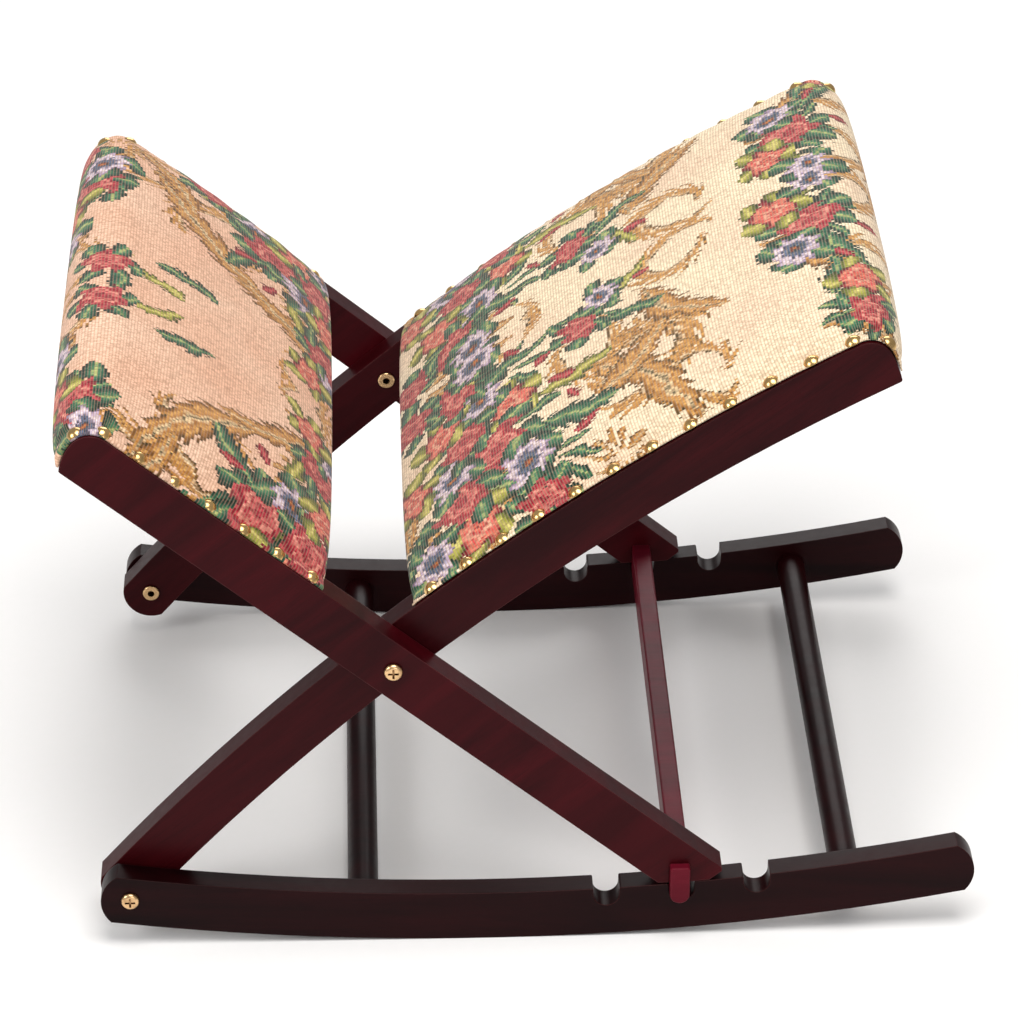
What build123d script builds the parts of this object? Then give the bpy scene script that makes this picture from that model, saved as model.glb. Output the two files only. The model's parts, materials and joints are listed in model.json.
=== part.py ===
"""Folding rocking footstool: two curved rockers, and two padded frames that cross like an X.

Millimetres, +Z up, +X along the rockers towards their free end, +Y to the back.
The origin is on the floor, in the middle of the overall length and width. The rockers are cut
flat for a short way where they touch the floor.
"""
import os
from math import asin, atan2, ceil, cos, degrees, radians, sin, sqrt

from build123d import *

os.makedirs("parts", exist_ok=True)

# ---------------------------------------------------------------- driving sizes

# Overall
overall_width = 340.0  # over the rockers' outer faces
rocker_thickness = 13.0
leg_thickness = 15.0
side_gap = 1.2  # between a short leg and the long leg beside it

# Rockers, and the former that they share with the long legs
former_radius = 1285.0  # bend of the middle line
rocker_height = 28.4
rocker_end_radius = 18.2
low_point_x = -19.6  # where the rockers touch the floor
rest_land = 14.0  # length of the worn flat there
rocker_reach_left = 183.0  # low point to the centre of the left end's round, level
rocker_reach_right = 235.7  # low point to the centre of the right end's round, level
rocker_bolt_offset = 3.0  # bolt beyond the centre of the left end's round
rocker_bolt_rise = 0.8  # bolt above the rocker's middle line

# Notches for the prop bar
notch_width = 13.6
notch_depth = 10.6
notch_pitch = 39.3
first_notch_reach = 62.0  # low point to the first notch, level
notch_count = 3
prop_notch = 1  # the middle notch holds the bar, counted from 0
notch_lip_radius = 1.0

# Stretchers between the rockers
stretcher_radius = 8.0
stretcher_socket = 10.0
middle_stretcher_reach = 65.0  # low point to the middle stretcher, level
end_stretcher_inset = 47.7  # centre of the right end's round to the end stretcher, level

# Legs
leg_width = 28.0
leg_foot_radius = 16.0  # long leg's round about the rocker bolt
end_round_radius = 12.0  # upper ends' round from the top edge, a quarter turn
short_heel_radius = 30.0  # from there to the lower edge
long_heel_radius = 75.0
heel_corner = 1.5
crossing_rise = 137.5  # rocker bolt to crossing, upright
crossing_run = 138.5  # rocker bolt to crossing, level
long_leg_reach = 287.0  # crossing to the centre of the upper end's round, along the leg
short_leg_reach = 193.5
short_leg_slope = 40.2  # degrees below level, towards the foot
foot_clearance = 0.4  # foot to rocker
foot_toe_rise = 8.5  # sole to the top of the foot's toe
foot_toe_edge = 2.0  # height of the toe's upright edge
foot_undercut = 8.0  # level run of the cut from that edge to the sole
edge_round = 1.2

# Prop bar
bar_width = 10.4
bar_height = 22.0
bar_proud = 5.0  # bar's end beyond the short leg's outer face
bar_end_round = 1.0
bar_clearance = 0.16  # bar to the notch's round floor
bar_lean = 56.3  # degrees, from the floor's lowest line to where the bar lies against the round

# Bolts with sleeve nuts
bolt_head_radius = 4.8
bolt_head_height = 2.6
bolt_head_round_share = 0.8  # rounding of the head's rim, as a share of its height
bolt_shank_radius = 1.9
bolt_shank_length = 15.0
cross_width = 1.1
cross_length = 5.4
cross_depth = 1.5
sleeve_radius = 3.0
sleeve_bore_radius = 1.98
sleeve_running = 0.06  # radial clearance in the boards
flange_radius = 4.8
flange_height = 1.5
flange_round_share = 0.6
head_clearance = 0.35  # head or flange to the board that turns
washer_radius = 8.0
washer_clearance = 0.4  # washer to the leg that turns beside it

# Upper rails
rail_width = 30.0
rail_pin_radius = 4.0
rail_pin_length = 30.0
rail_pin_bite = 10.0  # in the leg
rail_pin_spacing = 12.0

# Seat boards
seat_board_thickness = 3.0
seat_board_edge_gap = 0.3  # board's edge to the cover
seat_screw_radius = 0.9
seat_screw_length = 15.0
seat_screw_head_radius = 2.0
seat_screw_edge = 0.35  # screw's head to the board's edge
seat_screw_point = 2.0  # length of the screw's point
seat_screw_rim = 0.1  # upright rim of the screw's head
seat_screw_sink = 0.2  # cone of the head below the board's face
seat_screw_end_gap = 20.0  # board's ends to the first and the last screw
seat_screw_pitch = 110.0  # at most, along the board

# Pads
cover_thickness = 1.2
cover_inset = 1.6  # from the leg's outer face
cover_flange = 7.9  # flat margin that takes the nails
pad_step_run = 1.0  # level run of the cover's rise over the board's edge
pad_shoulder_width = 9.5  # level run from the margin to the pad's shoulder
pad_shoulder_share = 0.56  # height of the shoulder, as a share of the crown
pad_least_side = 1.2  # least height of the foam's side
foam_gap = 0.3  # foam to the cover and the seat board
bend_gap = 0.12  # cover or board to the long legs' bent edges
roll_gap = 0.35  # cover to the legs' rounded ends
pad_steps = 9  # sections along the straight stretch of a pad
round_steps = 6  # sections round the upper end's quarter turn
heel_steps = 3  # sections from there to the end of the roll
short_pad_start = 58.0  # crossing to the pad's lower edge, along the leg
long_pad_start = 26.0
pad_crown = 19.0
pad_lower_edge = 9.0  # thickness where the pad starts
pad_roll_edge = 13.0  # thickness where the roll starts
pad_rise_share = 0.35  # of the pad's length, from its lower edge to its full crown
pad_fall_share = 0.35  # of the pad's length, from its full crown to the roll
roll_tip = 5.0  # thickness where the roll ends
short_roll_drop = 12.0  # middle line of the leg to the end of the roll, towards the lower edge
long_roll_drop = 9.0
roll_tip_seat = 0.5  # height under the foam where the roll ends
lining_thickness = 0.8
lining_inset = 4.0

hole_ease = 0.03  # radial, in holes for nails and screws

# Dome nails
nail_head_radius = 4.5
nail_head_height = 2.8
nail_shank_radius = 0.7
nail_shank_length = 8.0
nail_point = 1.5  # length of the nail's point
nail_inset = 4.9  # from the leg's outer face
short_nail_count = 7
short_first_nail = 7.0  # pad's lower edge to the first nail
short_last_nail = 1.7  # centre of the upper end's round to the last nail of the row
long_nail_count = 12
long_first_nail = 12.0
long_last_nail = -2.6
end_nail_turn = 74.0  # degrees round the upper end, from the top edge

# ---------------------------------------------------------------- derived places

half_width = overall_width / 2
rocker_inner = half_width - rocker_thickness
short_inner = half_width - leg_thickness
long_outer = short_inner - side_gap
long_inner = long_outer - leg_thickness
rocker_half = rocker_height / 2
leg_half = leg_width / 2
foam_skin = cover_thickness + foam_gap  # foam to the outside of the cover
lower_radius = former_radius + rocker_half
rocker_centre = Vector(low_point_x, 0, sqrt(lower_radius**2 - (rest_land / 2) ** 2))


def on_rocker(reach, depth=0.0):
    """Point of the rocker's middle line at a level reach from the low point, depth towards the floor."""
    radius = former_radius + depth
    lift = sqrt(former_radius**2 - reach**2) / former_radius
    return Vector(
        rocker_centre.X + radius * reach / former_radius, 0, rocker_centre.Z - radius * lift
    )


rocker_pin = on_rocker(-rocker_reach_left - rocker_bolt_offset, -rocker_bolt_rise)
crossing = rocker_pin + Vector(crossing_run, 0, crossing_rise)


def centre_of_bend(first, second):
    """Centre of the former's arc through two points, below and to the right of them."""
    half = (second - first) * 0.5
    back = sqrt(former_radius**2 - half.length**2) / half.length
    return first + half + Vector(half.Z * back, 0, -half.X * back)


long_centre = centre_of_bend(rocker_pin, crossing)
crossing_angle = atan2(crossing.Z - long_centre.Z, crossing.X - long_centre.X)
slope = radians(short_leg_slope)


class StraightRun:
    """Middle line of the short leg: distances run from the crossing to the upper end."""

    outer_face = half_width
    inner_face = short_inner

    def frame(self, distance, rise=0.0):
        along = Vector(-cos(slope), 0, sin(slope))
        out = Vector(sin(slope), 0, cos(slope))
        return crossing + along * distance + out * rise, along, out


class BentRun:
    """Middle line of the long leg: distances run along the bend from the crossing to the upper end."""

    outer_face = long_outer
    inner_face = long_inner

    def frame(self, distance, rise=0.0):
        angle = crossing_angle - distance / former_radius
        out = Vector(cos(angle), 0, sin(angle))
        along = Vector(sin(angle), 0, -cos(angle))
        return long_centre + out * (former_radius + rise), along, out


short_run = StraightRun()
long_run = BentRun()


def across(origin, along, out):
    """Plane of a cross-section: its x runs across the frame, its y away from the leg."""
    return Plane(origin=origin, x_dir=out.cross(along), z_dir=along)


def flat(vector):
    """The point on the drawing plane of the side view."""
    return (vector.X, vector.Z)


side_view = Plane.XZ  # seen from the front, looking to the back


# ---------------------------------------------------------------- outlines in the side view

def round_end(centre, along, out, half, radius):
    """Start, middle and end point of a board's rounded end, from its upper edge to its lower one."""
    run = sqrt(radius**2 - half**2)
    return (
        centre + along * run + out * half,
        centre + along * radius,
        centre + along * run - out * half,
    )


def rocker_outline():
    """Closed outline of a rocker: arcs about one centre, rounded ends, and the flat it stands on."""
    left = on_rocker(-rocker_reach_left)
    right = on_rocker(rocker_reach_right)
    left_out = (rocker_centre - left).normalized()
    right_out = (rocker_centre - right).normalized()
    left_along = Vector(-left_out.Z, 0, left_out.X)
    right_along = Vector(right_out.Z, 0, -right_out.X)
    l_top, l_tip, l_low = round_end(left, left_along, left_out, rocker_half, rocker_end_radius)
    r_top, r_tip, r_low = round_end(right, right_along, right_out, rocker_half, rocker_end_radius)
    top = on_rocker(0, -rocker_half)
    land_left = Vector(low_point_x - rest_land / 2, 0, 0)
    land_right = Vector(low_point_x + rest_land / 2, 0, 0)
    middle_left = on_rocker(-rocker_reach_left / 2, rocker_half)
    middle_right = on_rocker(rocker_reach_right / 2, rocker_half)
    ThreePointArc(flat(l_top), flat(top), flat(r_top))
    ThreePointArc(flat(r_top), flat(r_tip), flat(r_low))
    ThreePointArc(flat(r_low), flat(middle_right), flat(land_right))
    Line(flat(land_right), flat(land_left))
    ThreePointArc(flat(land_left), flat(middle_left), flat(l_low))
    ThreePointArc(flat(l_low), flat(l_tip), flat(l_top))


def bent_outline(start, stop, low, high):
    """Closed outline of a bent strip of the long frame, between two distances and two rises."""
    middle = (start + stop) / 2
    points = [long_run.frame(s, rise)[0] for rise in (low, high) for s in (start, middle, stop)]
    ThreePointArc(*[flat(point) for point in points[:3]])
    Line(flat(points[2]), flat(points[5]))
    ThreePointArc(*[flat(point) for point in reversed(points[3:])])
    Line(flat(points[3]), flat(points[0]))


def straight_outline(start, stop, low, high):
    """Closed outline of a straight strip of the short frame, between two distances and two rises."""
    corners = [(start, low), (stop, low), (stop, high), (start, high)]
    points = [flat(short_run.frame(s, rise)[0]) for s, rise in corners]
    Polyline(*points, close=True)


# ---------------------------------------------------------------- rocker base

notch_reaches = [first_notch_reach + notch_pitch * n for n in range(notch_count)]
stretcher_reaches = {
    "middle_stretcher": -middle_stretcher_reach,
    "end_stretcher": rocker_reach_right - end_stretcher_inset,
}
notch_radius = notch_width / 2

with BuildPart() as front_rocker:
    with BuildSketch(side_view.offset(rocker_inner)) as rocker_side:
        with BuildLine():
            rocker_outline()
        make_face()
        for reach in notch_reaches:
            floor = on_rocker(reach, notch_depth - rocker_half)
            with Locations((floor.X, floor.Z + notch_radius)):
                Circle(notch_radius, mode=Mode.SUBTRACT)
                Rectangle(
                    notch_width, notch_depth, align=(Align.CENTER, Align.MIN), mode=Mode.SUBTRACT
                )
        lips = [
            corner
            for reach in notch_reaches
            for corner in rocker_side.vertices().sort_by_distance(
                flat(on_rocker(reach, -rocker_half))
            )[:2]
        ]
        fillet(lips, radius=notch_lip_radius)
    extrude(amount=rocker_thickness)
    with BuildSketch(side_view.offset(rocker_inner)):
        with Locations(*[flat(on_rocker(reach)) for reach in stretcher_reaches.values()]):
            Circle(stretcher_radius)
    extrude(amount=stretcher_socket, mode=Mode.SUBTRACT)
    with BuildSketch(side_view.offset(rocker_inner)):
        with Locations(flat(rocker_pin)):
            Circle(sleeve_radius)
    extrude(amount=rocker_thickness, mode=Mode.SUBTRACT)
front_rocker.part.label = "front_rocker"
export_step(front_rocker.part, "parts/front_rocker.step")

with BuildPart() as back_rocker:
    mirror(front_rocker.part, about=Plane.XZ)
back_rocker.part.label = "back_rocker"
export_step(back_rocker.part, "parts/back_rocker.step")

for stretcher_name, reach in stretcher_reaches.items():
    with BuildPart() as stretcher:
        with BuildSketch(side_view):
            with Locations(flat(on_rocker(reach))):
                Circle(stretcher_radius)
        extrude(amount=rocker_inner + stretcher_socket, both=True)
    stretcher.part.label = stretcher_name
    export_step(stretcher.part, f"parts/{stretcher_name}.step")


# ---------------------------------------------------------------- bolts, sleeve nuts and washers

class Pivot:
    """A bolt and sleeve nut through an outer board and the long leg inside it."""

    def __init__(self, name, pin, outer_board, head_gap, flange_gap, washer_on_leg):
        self.name = name
        self.pin = flat(pin)
        self.head_face = half_width + head_gap
        self.flange_face = long_inner - flange_gap
        board_inner = half_width - outer_board
        self.washer_thickness = board_inner - long_outer - washer_clearance
        if washer_on_leg:
            self.washer_face = long_outer
        else:
            self.washer_face = board_inner - self.washer_thickness


# The rocker's sleeve is fast in the rocker and turns in the leg; the crossing's is fast in the leg.
pivots = [
    Pivot("rocker", rocker_pin, rocker_thickness, 0.0, head_clearance, False),
    Pivot("crossing", crossing, leg_thickness, head_clearance, 0.0, True),
]

for pivot in pivots:
    with BuildPart() as bolts:
        with BuildSketch(side_view.offset(pivot.head_face)):
            with Locations(pivot.pin):
                Circle(bolt_head_radius)
        extrude(amount=bolt_head_height)
        rim = bolts.faces().sort_by(Axis.Y)[0].edges()
        fillet(rim, radius=bolt_head_height * bolt_head_round_share)
        with BuildSketch(side_view.offset(pivot.head_face + bolt_head_height)):
            with Locations(pivot.pin):
                Rectangle(cross_length, cross_width)
                Rectangle(cross_width, cross_length)
        extrude(amount=-cross_depth, mode=Mode.SUBTRACT)
        with BuildSketch(side_view.offset(pivot.head_face)):
            with Locations(pivot.pin):
                Circle(bolt_shank_radius)
        extrude(amount=-bolt_shank_length)
        mirror(about=Plane.XZ)
    bolts.part.label = f"{pivot.name}_bolts"
    export_step(bolts.part, f"parts/{pivot.name}_bolts.step")

    with BuildPart() as nuts:
        with BuildSketch(side_view.offset(pivot.flange_face)):
            with Locations(pivot.pin):
                Circle(sleeve_radius)
        extrude(amount=pivot.head_face - pivot.flange_face)
        with BuildSketch(side_view.offset(pivot.flange_face)):
            with Locations(pivot.pin):
                Circle(flange_radius)
        extrude(amount=-flange_height)
        rim = nuts.faces().sort_by(Axis.Y)[-1].edges()
        fillet(rim, radius=flange_height * flange_round_share)
        with BuildSketch(side_view.offset(pivot.flange_face - flange_height)):
            with Locations(pivot.pin):
                Circle(sleeve_bore_radius)
        extrude(amount=pivot.head_face - pivot.flange_face + flange_height, mode=Mode.SUBTRACT)
        mirror(about=Plane.XZ)
    nuts.part.label = f"{pivot.name}_sleeve_nuts"
    export_step(nuts.part, f"parts/{pivot.name}_sleeve_nuts.step")

    with BuildPart() as washers:
        with BuildSketch(side_view.offset(pivot.washer_face)):
            with Locations(pivot.pin):
                Circle(washer_radius)
                Circle(sleeve_radius, mode=Mode.SUBTRACT)
        extrude(amount=pivot.washer_thickness)
        mirror(about=Plane.XZ)
    washers.part.label = f"{pivot.name}_washers"
    export_step(washers.part, f"parts/{pivot.name}_washers.step")


# ---------------------------------------------------------------- what each padded frame is made to

class PaddedFrame:
    """The places along one frame that its legs, rail, board and pad share."""

    def __init__(self, name, run, gap, reach, heel_radius, pad_start, roll_drop, nails):
        self.name = name
        self.run = run
        self.bend_gap = gap
        self.reach = reach
        self.heel_radius = heel_radius
        self.pad_start = pad_start
        self.roll_turn = self.heel_turn(roll_drop)
        count, first, last = nails
        pitch = (reach + last - pad_start - first) / (count - 1)
        self.nails = [pad_start + first + pitch * n for n in range(count)]
        self.board_start = pad_start + 2 * cover_thickness
        self.nail_side = run.outer_face - nail_inset
        self.cover_half = run.outer_face - cover_inset
        self.margin = self.cover_half - cover_flange
        self.board_half = self.margin - pad_step_run - seat_board_edge_gap

    def heel_turn(self, drop):
        """Turn from the top edge to the place on the upper end that lies below the middle line."""
        return 90 + degrees(asin((drop + leg_half - end_round_radius) / self.heel_radius))

    def end_length(self, turn):
        """Length of the upper end's outline from the top edge."""
        length = end_round_radius * radians(min(turn, 90))
        return length + self.heel_radius * radians(max(turn - 90, 0))

    def end_place(self, turn, lift=0.0):
        """Point and directions on the upper end's outline, by its turn from the top edge."""
        centre, along, out = self.run.frame(self.reach, leg_half - end_round_radius)
        angle = radians(turn)
        outward = out * cos(angle) + along * sin(angle)
        radius = end_round_radius
        if turn > 90:
            radius = self.heel_radius
            centre -= along * (radius - end_round_radius)
        return centre + outward * (radius + lift), along * cos(angle) - out * sin(angle), outward

    def end_outline(self):
        """The upper end from the top edge to the lower edge; returns its first and last point."""
        last_turn = self.heel_turn(leg_half)
        turns = [0, 45, 90, (90 + last_turn) / 2, last_turn]
        points = [flat(self.end_place(turn)[0]) for turn in turns]
        ThreePointArc(*points[:3])
        ThreePointArc(*points[2:])
        return points[0], points[-1]

    def outline(self, start, stop, low, high):
        if self.run is long_run:
            bent_outline(start, stop, low, high)
        else:
            straight_outline(start, stop, low, high)

    def nail_frames(self):
        """Seat and direction of each nail: along the top edge, and one on the rounded end."""
        lift = leg_half + self.bend_gap + cover_thickness
        frames = [self.run.frame(s, lift) for s in self.nails]
        frames.append(self.end_place(end_nail_turn, roll_gap + cover_thickness))
        return [(origin, out) for origin, along, out in frames]

    def nail_planes(self, side):
        """Planes of the nail heads on one side, facing away from the leg."""
        shift = Vector(0, side * self.nail_side, 0)
        return [
            Plane(origin=origin + shift, x_dir=(0, 1, 0), z_dir=out)
            for origin, out in self.nail_frames()
        ]

    def screw_planes(self):
        """Planes of the seat screws' heads, sunk in the seat board, facing away from the leg."""
        span = self.reach - self.board_start
        count = ceil(span / seat_screw_pitch) + 1
        pitch = (span - 2 * seat_screw_end_gap) / (count - 1)
        side = self.board_half - seat_screw_edge - seat_screw_head_radius
        planes = []
        for n in range(count):
            distance = self.board_start + seat_screw_end_gap + pitch * n
            rise = leg_half + seat_board_thickness - seat_screw_sink
            origin, along, out = self.run.frame(distance, rise)
            for y in (-side, side):
                planes.append(Plane(origin=origin + Vector(0, y, 0), x_dir=(0, 1, 0), z_dir=out))
        return planes

    def rail_pins(self):
        """Points of the rail's hidden dowel pins, on the middle plane."""
        return [self.run.frame(self.reach - step)[0] for step in (0.0, rail_pin_spacing)]


short_frame = PaddedFrame(
    "short", short_run, 0.0, short_leg_reach, short_heel_radius, short_pad_start, short_roll_drop,
    (short_nail_count, short_first_nail, short_last_nail),
)
long_frame = PaddedFrame(
    "long", long_run, bend_gap, long_leg_reach, long_heel_radius, long_pad_start, long_roll_drop,
    (long_nail_count, long_first_nail, long_last_nail),
)
frames = [short_frame, long_frame]


def nail_solid():
    """One dome nail on the sketch origin, its head outwards along +Z."""
    with BuildPart() as nail:
        with BuildSketch(Plane.XZ):
            with BuildLine():
                Line((0, -nail_shank_length), (nail_shank_radius, -nail_shank_length + nail_point))
                Line((nail_shank_radius, -nail_shank_length + nail_point), (nail_shank_radius, 0))
                Line((nail_shank_radius, 0), (nail_head_radius, 0))
                RadiusArc(
                    (nail_head_radius, 0),
                    (0, nail_head_height),
                    -(nail_head_radius**2 + nail_head_height**2) / (2 * nail_head_height),
                )
                Line((0, nail_head_height), (0, -nail_shank_length))
            make_face()
        revolve(axis=Axis.Z)
    return nail.part


def screw_solid(grow=0.0, above=0.0):
    """One countersunk wood screw, its flat head on the sketch origin.

    Its hole is the same solid, grown, that also rises above the board.
    """
    radius = seat_screw_radius + grow
    head = seat_screw_head_radius + grow
    with BuildPart() as screw:
        with BuildSketch(Plane.XZ):
            with BuildLine():
                Polyline(
                    (0, above),
                    (head, above),
                    (head, 0),
                    (radius, radius - head),
                    (radius, -seat_screw_length + seat_screw_point),
                    (0, -seat_screw_length - grow),
                    (0, above),
                )
            make_face()
        revolve(axis=Axis.Z)
    return screw.part


dome_nail = nail_solid()
seat_screw = screw_solid(above=seat_screw_rim)
seat_screw_hole = screw_solid(hole_ease, seat_board_thickness)


def drill(radius, pin):
    """Bore the current part from front to back for a sleeve nut."""
    with Locations(pin):
        Cylinder(radius, overall_width, rotation=(90, 0, 0), mode=Mode.SUBTRACT)


def cut_fastenings(frame, side):
    """Cut the holes of one leg's nails, seat screws and rail pins."""
    with Locations(*[plane.location for plane in frame.nail_planes(side)]):
        Cylinder(nail_shank_radius + hole_ease, 2 * nail_shank_length, mode=Mode.SUBTRACT)
    for plane in frame.screw_planes():
        if plane.origin.Y * side > 0:
            add(seat_screw_hole.moved(plane.location), mode=Mode.SUBTRACT)
    socket_middle = Vector(0, side * (frame.run.inner_face + rail_pin_bite / 2), 0)
    with Locations(*[pin + socket_middle for pin in frame.rail_pins()]):
        Cylinder(rail_pin_radius, rail_pin_bite, rotation=(90, 0, 0), mode=Mode.SUBTRACT)


# ---------------------------------------------------------------- long legs

long_foot_distance = -former_radius * (
    atan2(rocker_pin.Z - long_centre.Z, rocker_pin.X - long_centre.X) - crossing_angle
)

with BuildPart() as front_long_leg:
    foot, foot_along, foot_out = long_run.frame(long_foot_distance)
    f_top, f_tip, f_low = round_end(foot, -foot_along, foot_out, leg_half, leg_foot_radius)
    middle_distance = (long_foot_distance + long_leg_reach) / 2
    top_middle = flat(long_run.frame(middle_distance, leg_half)[0])
    low_middle = flat(long_run.frame(middle_distance, -leg_half)[0])
    with BuildSketch(side_view.offset(long_inner)) as long_side:
        with BuildLine():
            head_top, head_low = long_frame.end_outline()
            ThreePointArc(head_low, low_middle, flat(f_low))
            ThreePointArc(flat(f_low), flat(f_tip), flat(f_top))
            ThreePointArc(flat(f_top), top_middle, head_top)
        make_face()
        fillet(long_side.vertices().sort_by_distance(head_low)[0], radius=heel_corner)
    extrude(amount=leg_thickness)
    drill(sleeve_radius + sleeve_running, rocker_pin)
    drill(sleeve_radius, crossing)
    cut_fastenings(long_frame, -1)
front_long_leg.part.label = "front_long_leg"
export_step(front_long_leg.part, "parts/front_long_leg.step")

with BuildPart() as back_long_leg:
    mirror(front_long_leg.part, about=Plane.XZ)
back_long_leg.part.label = "back_long_leg"
export_step(back_long_leg.part, "parts/back_long_leg.step")


# ---------------------------------------------------------------- prop bar and short legs

prop_reach = notch_reaches[prop_notch]
notch_floor = on_rocker(prop_reach, notch_depth - rocker_half)
bar_radius = bar_width / 2
bar_shift = notch_radius - bar_radius - bar_clearance  # notch's centre to the bar's
bar_x = notch_floor.X - bar_shift * sin(radians(bar_lean))
bar_z = notch_floor.Z + notch_radius - bar_shift * cos(radians(bar_lean))


def bar_section(grow=0.0):
    """Section of the prop bar: flat sides, a round lower edge."""
    with Locations((bar_x, bar_z)):
        Circle(bar_radius + grow)
        Rectangle(
            bar_width + 2 * grow, bar_height - bar_radius + grow, align=(Align.CENTER, Align.MIN)
        )


with BuildPart() as prop_bar:
    with BuildSketch(side_view):
        bar_section()
    extrude(amount=half_width + bar_proud, both=True)
    upper_edges = prop_bar.faces().sort_by(Axis.Z)[-1].edges().filter_by(Axis.Y)
    fillet(upper_edges, radius=edge_round)
    ends = prop_bar.faces().sort_by(Axis.Y)
    fillet(ends[0].edges() + ends[-1].edges(), radius=bar_end_round)
prop_bar.part.label = "prop_bar"
export_step(prop_bar.part, "parts/prop_bar.step")

with BuildPart() as front_short_leg:
    rocker_top = former_radius - rocker_half - foot_clearance
    sole = rocker_centre.Z - sqrt(rocker_top**2 - prop_reach**2)
    toe_top = sole + foot_toe_rise
    top_origin = short_run.frame(0, leg_half)[0]
    low_origin = short_run.frame(0, -leg_half)[0]
    toe_x = top_origin.X + (top_origin.Z - toe_top) / (sin(slope) / cos(slope))
    heel_x = low_origin.X + (low_origin.Z - sole) / (sin(slope) / cos(slope))
    with BuildSketch(side_view.offset(short_inner)) as short_side:
        with BuildLine():
            head_top, head_low = short_frame.end_outline()
            Polyline(
                head_low,
                (heel_x, sole),
                (toe_x - foot_undercut, sole),
                (toe_x, toe_top - foot_toe_edge),
                (toe_x, toe_top),
                head_top,
            )
        make_face()
        fillet(short_side.vertices().sort_by_distance(head_low)[0], radius=heel_corner)
        with Locations((rocker_centre.X, rocker_centre.Z)):
            Circle(rocker_top, mode=Mode.INTERSECT)
    extrude(amount=leg_thickness)
    add(prop_bar.part, mode=Mode.SUBTRACT)
    drill(sleeve_radius + sleeve_running, crossing)
    cut_fastenings(short_frame, -1)
front_short_leg.part.label = "front_short_leg"
export_step(front_short_leg.part, "parts/front_short_leg.step")

with BuildPart() as back_short_leg:
    mirror(front_short_leg.part, about=Plane.XZ)
back_short_leg.part.label = "back_short_leg"
export_step(back_short_leg.part, "parts/back_short_leg.step")


# ---------------------------------------------------------------- rails, seat boards and pads

def crown_at(share):
    """Thickness of a pad on its middle line, at a share of its straight stretch."""
    rise = sin(radians(90) * min(1.0, share / pad_rise_share))
    fall = sin(radians(90) * min(1.0, (1 - share) / pad_fall_share))
    return min(
        pad_lower_edge + (pad_crown - pad_lower_edge) * rise,
        pad_roll_edge + (pad_crown - pad_roll_edge) * fall,
    )


class Station:
    """One cross-section of a pad: where it stands, its crown, and the seat under its foam."""

    def __init__(self, frame, place, crown, seat):
        self.frame = frame
        self.plane = across(*place)
        self.crown = crown
        self.seat = seat

    def points(self, depth):
        """Foot, step, shoulder and top of the section, a depth below the outside of the cover."""
        foot = self.frame.margin
        side = max(pad_shoulder_share * self.crown, self.seat + foam_skin + pad_least_side)
        return [
            (foot, cover_thickness - depth),
            (foot - pad_step_run, self.seat + foam_skin - depth),
            (foot - pad_shoulder_width, side - depth),
            (0, self.crown - depth),
        ]


def pad_stations(frame, trim):
    """Sections of a pad from its lower edge round the upper end, less a trim at both ends."""
    spacing = (frame.reach - frame.pad_start) / (pad_steps - 1)
    stations = []
    for step in range(pad_steps):
        moved = max(step, trim / spacing)
        crown = crown_at(step / (pad_steps - 1))
        next_crown = crown_at((step + 1) / (pad_steps - 1))
        crown += (next_crown - crown) * (moved - step)
        place = frame.run.frame(frame.pad_start + moved * spacing, leg_half + frame.bend_gap)
        stations.append(Station(frame, place, crown, seat_board_thickness))
    trimmed = frame.roll_turn - degrees(trim / (frame.heel_radius + roll_gap))
    turns = [90 * n / round_steps for n in range(1, round_steps + 1)]
    turns += [90 + (frame.roll_turn - 90) * n / heel_steps for n in range(1, heel_steps)]
    for turn in turns + [trimmed]:
        share = frame.end_length(turn) / frame.end_length(frame.roll_turn)
        crown = pad_roll_edge + (roll_tip - pad_roll_edge) * share
        seat = seat_board_thickness + (roll_tip_seat - seat_board_thickness) * share
        stations.append(Station(frame, frame.end_place(turn, roll_gap), crown, seat))
    return stations


def mirrored(point):
    return (-point[0], point[1])


def crown_line(station, depth):
    """The line over a pad from one foot to the other, a depth below the outside of the cover."""
    foot, step, shoulder, top = station.points(depth)
    Polyline(foot, step, shoulder)
    ThreePointArc(shoulder, top, mirrored(shoulder))
    Polyline(mirrored(shoulder), mirrored(step), mirrored(foot))


def margin_line(frame):
    """The cover's flat margins, its outer edges and its underside."""
    margin = (frame.margin, cover_thickness)
    edge = (frame.cover_half, cover_thickness)
    under = (frame.cover_half, 0)
    Polyline(margin, edge, under, mirrored(under), mirrored(edge), mirrored(margin))


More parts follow.
